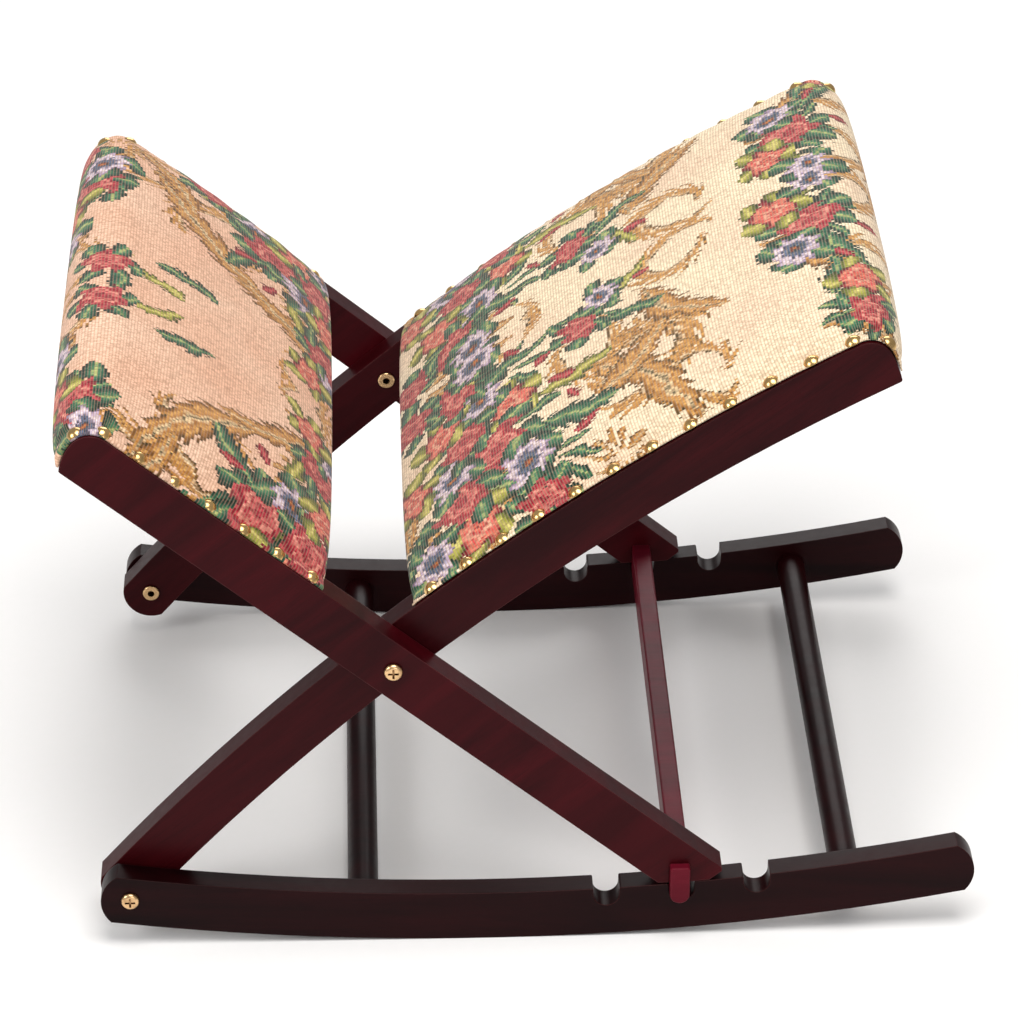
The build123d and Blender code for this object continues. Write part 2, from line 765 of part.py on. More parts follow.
for frame in frames:
    name = frame.name
    run = frame.run

    # Rail between the legs' upper ends, its outer edge round like theirs
    with BuildPart() as rail:
        rail_start = frame.reach + end_round_radius - rail_width
        top_corner = run.frame(rail_start, leg_half)[0]
        low_corner = run.frame(rail_start, -leg_half)[0]
        with BuildSketch(side_view):
            with BuildLine():
                head_top, head_low = frame.end_outline()
                Polyline(head_low, flat(low_corner), flat(top_corner), head_top)
            make_face()
        extrude(amount=run.inner_face, both=True)
        for side in (-1, 1):
            with BuildSketch(side_view.offset(side * run.inner_face)):
                with Locations(*[flat(pin) for pin in frame.rail_pins()]):
                    Circle(rail_pin_radius)
            extrude(amount=-side * (rail_pin_length - rail_pin_bite), mode=Mode.SUBTRACT)
    rail.part.label = f"{name}_upper_rail"
    export_step(rail.part, f"parts/{name}_upper_rail.step")

    with BuildPart() as rail_pins:
        with BuildSketch(side_view.offset(run.inner_face + rail_pin_bite)):
            with Locations(*[flat(pin) for pin in frame.rail_pins()]):
                Circle(rail_pin_radius)
        extrude(amount=-rail_pin_length)
        mirror(about=Plane.XZ)
    rail_pins.part.label = f"{name}_rail_pins"
    export_step(rail_pins.part, f"parts/{name}_rail_pins.step")

    # Seat board on the legs' top edges, with its countersunk screws
    with BuildPart() as seat_board:
        with BuildSketch(side_view):
            with BuildLine():
                frame.outline(
                    frame.board_start,
                    frame.reach,
                    leg_half + frame.bend_gap,
                    leg_half + seat_board_thickness,
                )
            make_face()
        extrude(amount=frame.board_half, both=True)
        for plane in frame.screw_planes():
            add(seat_screw_hole.moved(plane.location), mode=Mode.SUBTRACT)
    seat_board.part.label = f"{name}_seat_board"
    export_step(seat_board.part, f"parts/{name}_seat_board.step")

    with BuildPart() as seat_screws:
        for plane in frame.screw_planes():
            add(seat_screw.moved(plane.location))
    seat_screws.part.label = f"{name}_seat_screws"
    export_step(seat_screws.part, f"parts/{name}_seat_screws.step")

    # Foam on the seat board, crowned and rolled over the rail
    with BuildPart() as foam:
        for station in pad_stations(frame, 2 * cover_thickness):
            foot, step, shoulder, top = station.points(foam_skin)
            climb = foam_gap / (shoulder[1] - step[1])
            corner = (step[0] + climb * (shoulder[0] - step[0]), station.seat + foam_gap)
            with BuildSketch(station.plane):
                with BuildLine():
                    Polyline(mirrored(shoulder), mirrored(corner), corner, shoulder)
                    ThreePointArc(shoulder, top, mirrored(shoulder))
                make_face()
        loft(ruled=True)
    foam.part.label = f"{name}_pad_foam"
    export_step(foam.part, f"parts/{name}_pad_foam.step")

    # Woven cover: a skin over the foam, closed at the pad's lower edge and at the end of the roll
    with BuildPart() as cover_inside:
        for station in pad_stations(frame, cover_thickness):
            foot = (frame.margin, 0)
            below = (frame.margin, -cover_thickness)
            with BuildSketch(station.plane):
                with BuildLine():
                    crown_line(station, cover_thickness)
                    Polyline(mirrored(foot), mirrored(below), below, foot)
                make_face()
        loft(ruled=True)

    with BuildPart() as cover:
        for station in pad_stations(frame, 0):
            with BuildSketch(station.plane):
                with BuildLine():
                    crown_line(station, 0)
                    margin_line(frame)
                make_face()
        loft(ruled=True)
        add(cover_inside.part, mode=Mode.SUBTRACT)
        nail_places = [
            plane.location for side in (-1, 1) for plane in frame.nail_planes(side)
        ]
        with Locations(*nail_places):
            Cylinder(nail_shank_radius + hole_ease, 4 * cover_thickness, mode=Mode.SUBTRACT)
    cover.part.label = f"{name}_pad_cover"
    export_step(cover.part, f"parts/{name}_pad_cover.step")

    # Lining under the seat board, between the legs
    with BuildPart() as lining:
        with BuildSketch(side_view):
            with BuildLine():
                frame.outline(
                    frame.board_start + lining_inset,
                    rail_start - lining_inset,
                    leg_half - lining_thickness,
                    leg_half,
                )
            make_face()
        extrude(amount=run.inner_face - lining_inset, both=True)
    lining.part.label = f"{name}_lining"
    export_step(lining.part, f"parts/{name}_lining.step")

    # One row of dome nails on each side
    for side, side_name in ((-1, "front"), (1, "back")):
        with BuildPart() as nails:
            for plane in frame.nail_planes(side):
                add(dome_nail.moved(plane.location))
        nails.part.label = f"{name}_nails_{side_name}"
        export_step(nails.part, f"parts/{name}_nails_{side_name}.step")

print("rocker pin", flat(rocker_pin), "crossing", flat(crossing))
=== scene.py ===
"""Rocking footstool: finishes, upholstery and view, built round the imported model, in metres."""
import json
from math import asin, atan2, cos, hypot, pi, radians, sin, sqrt

import bpy
import numpy as np
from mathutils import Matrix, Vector


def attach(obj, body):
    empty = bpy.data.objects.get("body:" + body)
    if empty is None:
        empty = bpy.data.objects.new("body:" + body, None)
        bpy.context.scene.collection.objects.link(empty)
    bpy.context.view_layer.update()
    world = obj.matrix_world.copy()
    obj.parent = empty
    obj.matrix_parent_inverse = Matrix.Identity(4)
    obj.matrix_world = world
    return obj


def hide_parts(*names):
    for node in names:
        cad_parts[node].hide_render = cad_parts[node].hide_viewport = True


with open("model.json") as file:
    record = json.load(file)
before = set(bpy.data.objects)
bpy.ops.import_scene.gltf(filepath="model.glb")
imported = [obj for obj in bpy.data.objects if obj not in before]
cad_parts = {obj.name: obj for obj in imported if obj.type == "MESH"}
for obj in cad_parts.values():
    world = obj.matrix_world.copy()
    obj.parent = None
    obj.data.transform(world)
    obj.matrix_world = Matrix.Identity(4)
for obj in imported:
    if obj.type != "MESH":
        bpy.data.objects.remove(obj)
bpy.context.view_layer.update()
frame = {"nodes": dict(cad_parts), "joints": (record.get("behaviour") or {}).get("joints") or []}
nodes = frame["nodes"]
joint_places = {joint["name"]: Vector(joint["pos_m"]) for joint in frame["joints"]}
scene = bpy.context.scene
scene.view_settings.view_transform = "Standard"


# ---------------------------------------------------------------- studio
# A product shot: the stool stands on a seamless pale sweep, with a large soft lamp overhead,
# one at the left, one behind that catches the boards' upper edges, and a weak fill from the
# front. The camera is a long lens, looking over the front rocker from above.
camera_place = Vector((-0.0753, -2.0274, 1.3391))
camera_down = radians(30.17)
camera_turn = radians(2.08)
camera_lens = 153.38
sensor = 36.0

camera = bpy.data.objects.new("camera", bpy.data.cameras.new("camera"))
camera.data.lens = camera_lens
camera.data.sensor_width = sensor
camera.location = camera_place
camera.rotation_euler = (pi / 2 - camera_down, 0, -camera_turn)
scene.collection.objects.link(camera)
scene.camera = camera

stool_middle = Vector((0, 0, 0.16))
lamps = {  # place, size, watts, colour
    "lamp_over": ((0.1, -0.5, 1.9), 1.3, 25.0, (1.0, 0.98, 0.96)),
    "lamp_left": ((-1.7, -0.9, 1.2), 1.0, 17.0, (1.0, 0.99, 0.98)),
    "lamp_back": ((0.2, 2.0, 1.25), 1.5, 17.0, (1.0, 0.98, 0.97)),
    "lamp_front": ((0.6, -2.2, 0.9), 1.2, 8.0, (1.0, 1.0, 1.0)),
}
for name, (place, size, watts, colour) in lamps.items():
    lamp = bpy.data.lights.new(name, "AREA")
    lamp.shape = "DISK"
    lamp.size = size
    lamp.energy = watts
    lamp.color = colour
    holder = bpy.data.objects.new(name, lamp)
    holder.location = place
    holder.rotation_euler = (stool_middle - Vector(place)).to_track_quat("-Z", "Y").to_euler()
    scene.collection.objects.link(holder)

scene.world = bpy.data.worlds.new("studio")
scene.world.use_nodes = True
scene.world.node_tree.nodes["Background"].inputs["Color"].default_value = (1.0, 1.0, 1.0, 1.0)
scene.world.node_tree.nodes["Background"].inputs["Strength"].default_value = 0.4


def swatch(red, green, blue):
    """A colour read from a paint card, 0 to 255, as the shader wants it."""
    return tuple((part / 255) ** 2.2 for part in (red, green, blue)) + (1.0,)


class Wire:
    """The output of a node. Python's operators on it add Math nodes."""

    def __init__(self, drawing, socket):
        self.drawing = drawing
        self.socket = socket

    def math(self, operation, *values):
        return self.drawing.node("Math", {"operation": operation}, dict(enumerate(values)))

    def __add__(self, other):
        return self.math("ADD", self, other)

    def __radd__(self, other):
        return self.math("ADD", other, self)

    def __sub__(self, other):
        return self.math("SUBTRACT", self, other)

    def __rsub__(self, other):
        return self.math("SUBTRACT", other, self)

    def __mul__(self, other):
        return self.math("MULTIPLY", self, other)

    def __truediv__(self, other):
        return self.math("DIVIDE", self, other)

    def __pow__(self, other):
        return self.math("POWER", self, other)

    def __lt__(self, other):
        return self.math("LESS_THAN", self, other)

    def __gt__(self, other):
        return self.math("GREATER_THAN", self, other)

    def __mod__(self, other):
        return self.math("FLOORED_MODULO", self, other)

    def __abs__(self):
        return self.math("ABSOLUTE", self)


class Drawing:
    """A tree of shader nodes, written as expressions on its wires."""

    def __init__(self, tree):
        self.tree = tree

    def node(self, kind, settings=None, inputs=None, outlet=0):
        """Any node: its settings first, then the values or wires of its sockets."""
        made = self.tree.nodes.new("ShaderNode" + kind)
        for name, value in (settings or {}).items():
            if name == "stops":
                ramp = made.color_ramp
                while len(ramp.elements) < len(value):
                    ramp.elements.new(1.0)
                for element, (position, colour) in zip(ramp.elements, value):
                    element.position = position
                    element.color = colour
            else:
                setattr(made, name, value)
        for key, value in (inputs or {}).items():
            self.feed(made.inputs[key], value)
        return Wire(self, made.outputs[outlet])

    def feed(self, socket, value):
        if isinstance(value, Wire):
            self.tree.links.new(value.socket, socket)
        else:
            socket.default_value = value

    def mix(self, factor, under, over, blend="MIX"):
        settings = {"data_type": "RGBA", "blend_type": blend}
        return self.node("Mix", settings, {0: factor, 6: under, 7: over}, outlet=2)

    def ramp(self, value, *stops):
        return self.node("ValToRGB", {"stops": stops}, {0: value})

    def vector(self, operation, *values):
        return self.node("VectorMath", {"operation": operation}, dict(enumerate(values)))

    def noise(self, place, scale=1.0, detail=3.0, roughness=0.5, distortion=0.0, outlet=0):
        inputs = {"Vector": place, "Scale": scale, "Detail": detail}
        inputs |= {"Roughness": roughness, "Distortion": distortion}
        return self.node("TexNoise", {}, inputs, outlet)

    def spread(self, value, low, high, start=0.0, stop=1.0):
        """A value between low and high, stretched to run from start to stop, and clamped."""
        inputs = {0: value, 1: low, 2: high, 3: start, 4: stop}
        return self.node("MapRange", {}, inputs)

    def bump(self, height, strength, distance, normal=None):
        inputs = {"Height": height, "Strength": strength, "Distance": distance}
        if normal is not None:
            inputs["Normal"] = normal
        return self.node("Bump", {}, inputs)


class Finish(Drawing):
    """A procedural material."""

    def __init__(self, name):
        self.material = bpy.data.materials.new(name)
        self.material.use_nodes = True
        super().__init__(self.material.node_tree)
        self.shader = self.tree.nodes["Principled BSDF"]

    def surface(self, **sockets):
        """Set or join the shader's own sockets; underscores stand for spaces."""
        for name, value in sockets.items():
            self.feed(self.shader.inputs[name.replace("_", " ")], value)


floor_size = 14.0
floor_colour = swatch(250, 250, 249)

floor_mesh = bpy.data.meshes.new("floor")
half = floor_size / 2
floor_corners = [(-half, -half, 0), (half, -half, 0), (half, half, 0), (-half, half, 0)]
floor_mesh.from_pydata(floor_corners, [], [(0, 1, 2, 3)])
floor = bpy.data.objects.new("floor", floor_mesh)
scene.collection.objects.link(floor)
paper = Finish("paper_sweep")
grit = paper.noise(paper.node("TexCoord", outlet=3), 180.0, 2.0)
paper.surface(
    Base_Color=paper.mix(grit, floor_colour, swatch(253, 252, 252)),
    Roughness=paper.spread(grit, 0.3, 0.7, 0.75, 0.9),
)
floor_mesh.materials.append(paper.material)


# ---------------------------------------------------------------- rockers and stretchers
# Two curved rockers sawn from 13 mm hardwood board and two turned rails glued into blind
# sockets between them. All are stained a very dark mahogany and sprayed with satin lacquer,
# which is thin on the sanded edges; those edges are painted paler, partly as wear and partly
# as a painted highlight where the rounded edges catch the light.
edge_worn = 0.0009  # width of the edge that the sander rounded
edge_samples = 4
lacquer_shine = 0.09
lacquer_roughness = (0.29, 0.43)  # at its smoothest and at its roughest


def lacquered_wood(name, grain_slope, dark, light, worn_and_lit):
    """Stained wood whose grain runs at a slope in the side view, under a thin lacquer."""
    wood = Finish(name)
    inputs = {"Vector": wood.node("TexCoord", outlet=3), "Rotation": (0.0, grain_slope, 0.0)}
    board = wood.node("Mapping", {}, inputs)
    figure = wood.noise(wood.vector("MULTIPLY", board, (5.0, 42.0, 42.0)), 1.0, 5.0, 0.62, 0.6)
    pores = wood.noise(wood.vector("MULTIPLY", board, (55.0, 1400.0, 1400.0)), 1.0, 2.0, 0.7)
    cloud = wood.noise(wood.vector("MULTIPLY", board, (3.0, 11.0, 11.0)), 1.0, 2.0)
    stripe = wood.spread(figure, 0.34, 0.68)
    colour = wood.mix(stripe, dark, light)
    colour = wood.mix(wood.spread(pores, 0.52, 0.72, 0.0, 0.55), colour, dark)
    colour = wood.mix(wood.spread(cloud, 0.3, 0.7, 0.0, 0.4), colour, light)
    rounded = wood.node("Bevel", {"samples": edge_samples}, {"Radius": edge_worn})
    flat = wood.node("NewGeometry", outlet=1)
    corner = 1.0 - wood.node("VectorMath", {"operation": "DOT_PRODUCT"}, {0: rounded, 1: flat}, 1)
    # the edges are painted in the paler colour: partly wear, partly a painted highlight where the
    # rounded edge catches the light
    wear_and_highlight = wood.spread(corner, 0.02, 0.25) * wood.spread(cloud, 0.35, 0.75, 0.35, 1.0)
    colour = wood.mix(wear_and_highlight * 0.6, colour, worn_and_lit)
    lacquer = wood.noise(board, 260.0, 2.0)
    height = pores * 0.5 + figure * 0.3 + lacquer * 0.2
    wood.surface(
        Base_Color=colour,
        Roughness=wood.spread(lacquer * 0.5 + figure * 0.5, 0.3, 0.7, *lacquer_roughness),
        Normal=wood.bump(height, 0.12, 0.0004, rounded),
        Specular_IOR_Level=lacquer_shine,
    )
    return wood.material


def dress(material, *names):
    """Give CAD nodes a finish."""
    for name in names:
        nodes[name].data.materials.clear()
        nodes[name].data.materials.append(material)


rocker_finish = lacquered_wood(
    "rocker_mahogany", 0.0, swatch(20, 6, 8), swatch(40, 12, 15), swatch(98, 58, 56)
)
dress(rocker_finish, "front_rocker", "back_rocker", "middle_stretcher", "end_stretcher")


# ---------------------------------------------------------------- legs and prop bar
# Two long legs bent to the rockers' own curve, two straight short legs, and the flat prop bar
# through both feet, round along its lower edge so that it drops into a notch. The same lacquer
# over a redder stain, reddest on the bar; their edges are painted paler than the rockers',
# partly as wear and partly as a painted highlight.
crossing = joint_places["frame_spread"]
rocker_pin = joint_places["frame_lift"]
short_slope = radians(40.2)
long_slope = -atan2(crossing.z - rocker_pin.z, crossing.x - rocker_pin.x) + radians(6.0)

long_leg_finish = lacquered_wood(
    "long_leg_mahogany", -long_slope, swatch(32, 7, 11), swatch(58, 14, 19), swatch(128, 80, 78)
)
dress(long_leg_finish, "front_long_leg", "back_long_leg")
short_leg_finish = lacquered_wood(
    "short_leg_mahogany", short_slope, swatch(38, 7, 12), swatch(66, 14, 21), swatch(134, 84, 84)
)
dress(short_leg_finish, "front_short_leg", "back_short_leg")

bar_finish = lacquered_wood(
    "bar_mahogany", 0.0, swatch(62, 12, 22), swatch(112, 28, 44), swatch(150, 76, 80)
)
dress(bar_finish, "prop_bar")


# ---------------------------------------------------------------- bolts, sleeve nuts, washers
# Turned brass: round-headed machine screws with a pressed cross, the flanged sleeve nuts that
# they screw into, and stamped spacers. Bright where they were polished, with browner tarnish in
# blotches, and painted shade that browns them in the hollows.
def brass(name, bright, tarnish_and_shade, roughness, grain_scale):
    metal = Finish(name)
    place = metal.node("TexCoord", outlet=3)
    blotch = metal.noise(place, 160.0, 4.0, 0.6)
    fine = metal.noise(place, grain_scale, 2.0)
    # painted shade: an occlusion measure browns the colour in the hollows
    hollow_shade = metal.node("AmbientOcclusion", {"samples": 4}, {"Distance": 0.002}, 1)
    stain_and_shade = metal.spread(blotch, 0.45, 0.75, 0.0, 0.5)
    stain_and_shade = stain_and_shade + metal.spread(hollow_shade, 0.55, 0.95, 0.7, 0.0)
    metal.surface(
        Base_Color=metal.mix(metal.spread(stain_and_shade, 0.0, 1.0), bright, tarnish_and_shade),
        Roughness=metal.spread(fine * 0.5 + blotch * 0.5, 0.3, 0.7, roughness, roughness + 0.16),
        Normal=metal.bump(fine, 0.1, 0.0001),
        Metallic=1.0,
    )
    return metal.material


bolt_brass = brass("bolt_brass", swatch(226, 186, 138), swatch(96, 60, 36), 0.2, 2600.0)
dress(bolt_brass, "rocker_bolts", "crossing_bolts", "rocker_sleeve_nuts", "crossing_sleeve_nuts")
washer_brass = brass("washer_brass", swatch(206, 172, 104), swatch(96, 70, 36), 0.34, 1800.0)
dress(washer_brass, "rocker_washers", "crossing_washers")


# ---------------------------------------------------------------- rails, seat boards, screws
# Inside each pad: a beech rail dowelled between the legs' upper ends, and a thin bent plywood
# board screwed to the legs' top edges. All bare, since cloth and lining cover them.
def bare_wood(name, pale, brown, stretch):
    wood = Finish(name)
    board = wood.vector("MULTIPLY", wood.node("TexCoord", outlet=3), stretch)
    figure = wood.noise(board, 1.0, 5.0, 0.6, 0.5)
    flecks = wood.noise(wood.vector("MULTIPLY", board, (6.0, 9.0, 9.0)), 1.0, 2.0)
    colour = wood.mix(wood.spread(figure, 0.35, 0.65), pale, brown)
    colour = wood.mix(wood.spread(flecks, 0.55, 0.7, 0.0, 0.4), colour, brown)
    wood.surface(
        Base_Color=colour,
        Roughness=wood.spread(flecks, 0.3, 0.7, 0.6, 0.75),
        Normal=wood.bump(figure + flecks * 0.5, 0.2, 0.0003),
    )
    return wood.material


beech = bare_wood("bare_beech", swatch(214, 178, 134), swatch(168, 124, 84), (60.0, 6.0, 60.0))
dress(beech, "short_upper_rail", "long_upper_rail", "short_rail_pins", "long_rail_pins")
plywood = bare_wood("plywood", swatch(206, 176, 132), swatch(158, 120, 82), (40.0, 5.0, 40.0))
dress(plywood, "short_seat_board", "long_seat_board")

steel = Finish("screw_steel")
steel_grain = steel.noise(steel.node("TexCoord", outlet=3), 900.0, 2.0)
steel.surface(
    Base_Color=steel.mix(steel_grain, swatch(150, 150, 148), swatch(190, 190, 188)),
    Roughness=steel.spread(steel_grain, 0.3, 0.7, 0.3, 0.45),
    Metallic=1.0,
)
dress(steel.material, "short_seat_screws", "long_seat_screws")


# ---------------------------------------------------------------- woven covers
# A ribbed tapestry: cotton warp under coarse coloured wefts, so the picture is built from
# stitches just under a millimetre wide. Scrolls, roses, daisies and leaf sprays stand on a plain
# ground, cream on the long frame and peach on the short one.
stitch_width = 0.8  # millimetres, across the frame
rib_pitch = 1.7  # millimetres, along the frame
wander = 8.0  # how far the picture strays from a true drawing
raggedness = 1.7  # how far a stitch may stray from its outline
warp_show = 0.22  # how strongly the warp tints the grooves between ribs
# how strongly the flecks of painted shade darken the grooves between ribs
fleck_shade_show = 0.22
thin = 0.00001  # keeps a breadth from being nought, and is too small to mark a stitch

rose_colours = [
    (0.0, swatch(92, 12, 34)), (0.1, swatch(196, 60, 74)), (0.2, swatch(120, 16, 40)),
    (0.32, swatch(226, 116, 112)), (0.44, swatch(158, 26, 50)), (0.56, swatch(240, 156, 140)),
    (0.66, swatch(186, 44, 62)), (0.78, swatch(128, 18, 42)), (0.9, swatch(206, 84, 90)),
    (1.0, swatch(74, 20, 30)),
]
coral_colours = [
    (0.0, swatch(128, 20, 40)), (0.16, swatch(236, 122, 98)), (0.28, swatch(178, 38, 52)),
    (0.44, swatch(248, 184, 154)), (0.58, swatch(214, 74, 74)), (0.74, swatch(240, 144, 118)),
    (0.88, swatch(146, 28, 46)), (1.0, swatch(84, 28, 32)),
]
daisy_colours = [
    (0.0, swatch(214, 132, 56)), (0.14, swatch(140, 66, 44)), (0.22, swatch(40, 62, 70)),
    (0.36, swatch(96, 112, 140)), (0.48, swatch(66, 70, 96)), (0.6, swatch(196, 184, 208)),
    (0.74, swatch(242, 226, 228)), (0.88, swatch(192, 170, 198)), (1.0, swatch(106, 96, 122)),
]
leaf_colours = [
    (0.0, swatch(186, 196, 122)), (0.18, swatch(70, 128, 92)), (0.5, swatch(36, 92, 72)),
    (0.8, swatch(26, 58, 50)), (1.0, swatch(24, 40, 32)),
]
olive_colours = [
    (0.0, swatch(228, 218, 128)), (0.3, swatch(168, 168, 70)), (0.65, swatch(106, 116, 50)),
    (1.0, swatch(54, 60, 34)),
]
scroll_colours = [
    (0.0, swatch(58, 56, 34)), (0.1, swatch(132, 96, 50)), (0.2, swatch(250, 224, 184)),
    (0.3, swatch(216, 160, 92)), (0.42, swatch(160, 108, 52)), (0.54, swatch(232, 180, 104)),
    (0.68, swatch(184, 124, 58)), (0.82, swatch(222, 164, 88)), (0.94, swatch(132, 94, 48)),
    (1.0, swatch(78, 68, 38)),
]
plume_colours = [
    (0.0, swatch(66, 62, 36)), (0.1, swatch(248, 218, 168)), (0.24, swatch(178, 118, 56)),
    (0.46, swatch(226, 172, 98)), (0.66, swatch(166, 112, 54)), (0.86, swatch(124, 86, 44)),
    (1.0, swatch(66, 60, 34)),
]
bud_colours = [
    (0.0, swatch(214, 92, 96)), (0.4, swatch(150, 24, 48)), (0.8, swatch(110, 18, 38)),
    (1.0, swatch(64, 24, 28)),
]


class Motif(Drawing):
    """One figure of the weave, drawn about its own centre at a size of 1, laid over a colour."""

    def __init__(self, name):
        super().__init__(bpy.data.node_groups.new(name, "ShaderNodeTree"))
        interface = self.tree.interface
        for socket in ("u", "v", "centre_u", "centre_v", "right_u", "right_v", "up_u", "up_v"):
            interface.new_socket(socket, in_out="INPUT", socket_type="NodeSocketFloat")
        interface.new_socket("under", in_out="INPUT", socket_type="NodeSocketColor")
        interface.new_socket("over", in_out="OUTPUT", socket_type="NodeSocketColor")
        sockets = self.tree.nodes.new("NodeGroupInput").outputs
        u, v, centre_u, centre_v, right_u, right_v, up_u, up_v, under = [
            Wire(self, socket) for socket in sockets[:9]
        ]
        self.x = (u - centre_u) * right_u + (v - centre_v) * right_v
        self.y = (u - centre_u) * up_u + (v - centre_v) * up_v
        self.radius = (self.x * self.x + self.y * self.y) ** 0.5
        self.angle = self.x.math("ARCTAN2", self.y, self.x)
        self.colour = under

    def bell(self, value, power):
        """Nought outside 0 to 1, and highest in the middle."""
        hump = value * (1.0 - value)
        return hump.math("MAXIMUM", hump, 0.0) ** power

    def lay(self, share, stops):
        """Lay a ramp of colours where the share is between 0 and 1."""
        mask = (share < 1.0) * (share > -0.0001)
        self.colour = self.mix(mask, self.colour, self.ramp(share, *stops))

    def made(self):
        out = self.tree.nodes.new("NodeGroupOutput")
        self.feed(out.inputs["over"], self.colour)
        return self.tree


def flower(name, petals, stops, leaves, leaf_stops):
    """Ruffled rings of petals over a ring of pointed leaves."""
    motif = Motif(name)
    fold = abs((motif.angle * (leaves / (2 * pi)) + motif.radius * 0.25) % 1.0 - 0.5) * 2.0
    width = motif.bell((motif.radius - 0.7) / 1.1, 0.8) * 2.4
    motif.lay(fold / (width + thin), leaf_stops)
    wave = motif.x.math("SINE", motif.angle * float(petals) + motif.radius * 6.0)
    motif.lay(motif.radius * (1.0 + wave * 0.17), stops)
    return motif.made()


def spray(name, blades, stops, swirl=0.35):
    """A swirl of thin pointed leaves about an open middle."""
    motif = Motif(name)
    spread = motif.angle * (blades / (2 * pi)) + motif.radius * swirl
    fold = abs(spread % 1.0 - 0.5) * 2.0
    width = motif.bell((motif.radius - 0.15) / 0.85, 0.7) * 1.5
    motif.lay(fold / (width + thin), stops)
    return motif.made()


def acanthus(name, stops, fingers=15.0):
    """A C-scroll: smooth inside, with curved fingers combed outwards, tapered at both ends."""
    motif = Motif(name)
    round_share = motif.angle * (1 / (2 * pi)) + 0.5
    inner = 0.34 + round_share * 0.3
    outward = motif.radius - inner
    comb = (motif.angle * (fingers / (2 * pi)) - outward * 4.0) % 1.0
    breadth = motif.bell(round_share, 0.75) * (0.45 + comb * 0.95)
    motif.lay(outward / (breadth + thin), stops)
    return motif.made()


def plume(name, stops, breadth=0.2, teeth=8.0, bend=0.5):
    """A long bent leaf with a toothed edge and a midrib, from its root to its tip."""
    motif = Motif(name)
    side = abs(motif.y - motif.x * motif.x * bend)
    tooth = (motif.x * teeth - side * 5.0) % 1.0 * 0.5 + 0.55
    blade = motif.bell(motif.x, 0.6) * tooth * (2.3 * breadth)
    motif.lay(side / (blade + thin), stops)
    return motif.made()


rose = flower("rose", 5, rose_colours, 6, leaf_colours)
coral = flower("coral_rose", 5, coral_colours, 5, olive_colours)
daisy = flower("daisy", 9, daisy_colours, 4, leaf_colours)
scroll = acanthus("gold_acanthus", scroll_colours)
gold = plume("gold_plume", plume_colours)
leaf = plume("green_leaf", leaf_colours, 0.24, 5.0, 0.3)
olive = plume("olive_leaf", olive_colours, 0.2, 6.0, 0.4)
bud = plume("red_bud", bud_colours, 0.34, 2.0, 0.1)
grass = spray("green_spray", 9, leaf_colours)
straw = spray("gold_spray", 11, plume_colours, 0.5)


class Tapestry(Finish):
    """The woven picture of one cover, in millimetres on the cloth."""

    def __init__(self, name, ground, shade, mirror_line):
        super().__init__(name)
        self.cloth = self.node("Attribute", {"attribute_name": "cloth"}, outlet=1)
        self.thread = self.node("SeparateXYZ", {}, {0: self.cloth})
        self.along = Wire(self, self.thread.socket.node.outputs[1])
        self.stitch = self.vector("SNAP", self.cloth, (stitch_width, rib_pitch, 1.0))
        tint = self.noise(self.stitch, 0.016, 2.0)
        lean = self.noise(self.stitch, 0.05, 3.0, outlet=1)
        ragged = self.noise(self.stitch, 0.45, 1.0, outlet=1)
        stray = self.vector("SUBTRACT", lean, (0.5, 0.5, 0.5))
        stray = self.vector("MULTIPLY", stray, (2 * wander, 2 * wander, 0.0))
        fray = self.vector("SUBTRACT", ragged, (0.5, 0.5, 0.5))
        fray = self.vector("MULTIPLY", fray, (2 * raggedness, 2 * raggedness, 0.0))
        drawn = self.vector("ADD", self.vector("ADD", self.stitch, stray), fray)
        drawn = self.vector("SUBTRACT", drawn, (mirror_line, 0.0, 0.0))
        self.u = self.node("SeparateXYZ", {}, {0: self.vector("ABSOLUTE", drawn)})
        self.v = Wire(self, self.u.socket.node.outputs[1])
        self.colour = self.mix(self.spread(tint, 0.35, 0.65), ground, shade)

    def lay(self, motif, x, y, size, turn=0.0, stretch=1.0):
        """Lay a motif at a place, x from the mirror line and y from the pad's lower edge."""
        right = (cos(turn) / size, sin(turn) / size)
        up = (-sin(turn) / (size * stretch), cos(turn) / (size * stretch))
        values = (self.u, self.v, x, y, *right, *up, self.colour)
        self.colour = self.node("Group", {"node_tree": motif}, dict(enumerate(values)))

    def weave(self, warp, speck_shade, flecked, depth):
        """Ribs, the warp threads between them, painted shade in the grooves between the ribs with faint
        flecks of painted shade along them, and the nap of the wool.
        """
        groove = self.along.math("COSINE", self.along * (2 * pi / rib_pitch)) * 0.5 + 0.5
        groove = groove ** 2.0
        cells = self.vector("SNAP", self.cloth, (2 * stitch_width, rib_pitch, 1.0))
        chance = self.node("TexWhiteNoise", {"noise_dimensions": "2D"}, {"Vector": cells})
        # painted shade: dark flecks scattered along the grooves between ribs
        fleck_shade = (chance > flecked) * groove
        tone = self.node("TexWhiteNoise", {"noise_dimensions": "2D"}, {"Vector": self.stitch})
        shaded = self.mix(groove * warp_show, self.colour, warp)
        shaded = self.mix(fleck_shade * fleck_shade_show, shaded, speck_shade)
        # painted shade: the grooves between the ribs are darkened
        shaded = self.mix(groove * depth, shaded, swatch(178, 150, 130), "MULTIPLY")
        dusk = self.mix(tone, swatch(206, 200, 194), swatch(255, 255, 255))
        shaded = self.mix(1.0, shaded, dusk, "MULTIPLY")
        across = self.thread * (pi / stitch_width)
        slub = self.noise(self.vector("MULTIPLY", self.cloth, (0.9, 2.6, 0.0)), 1.0, 2.0)
        height = (1.0 - groove) * depth + across.math("SINE", across) * 0.15 + slub * 0.4
        self.surface(
            Base_Color=shaded,
            Roughness=self.spread(slub, 0.3, 0.7, 0.82, 0.95),
            Normal=self.bump(height, 0.6, 0.0005),
            Sheen_Weight=0.12,
            Sheen_Roughness=0.5,
            Specular_IOR_Level=0.2,
        )
        return self.material


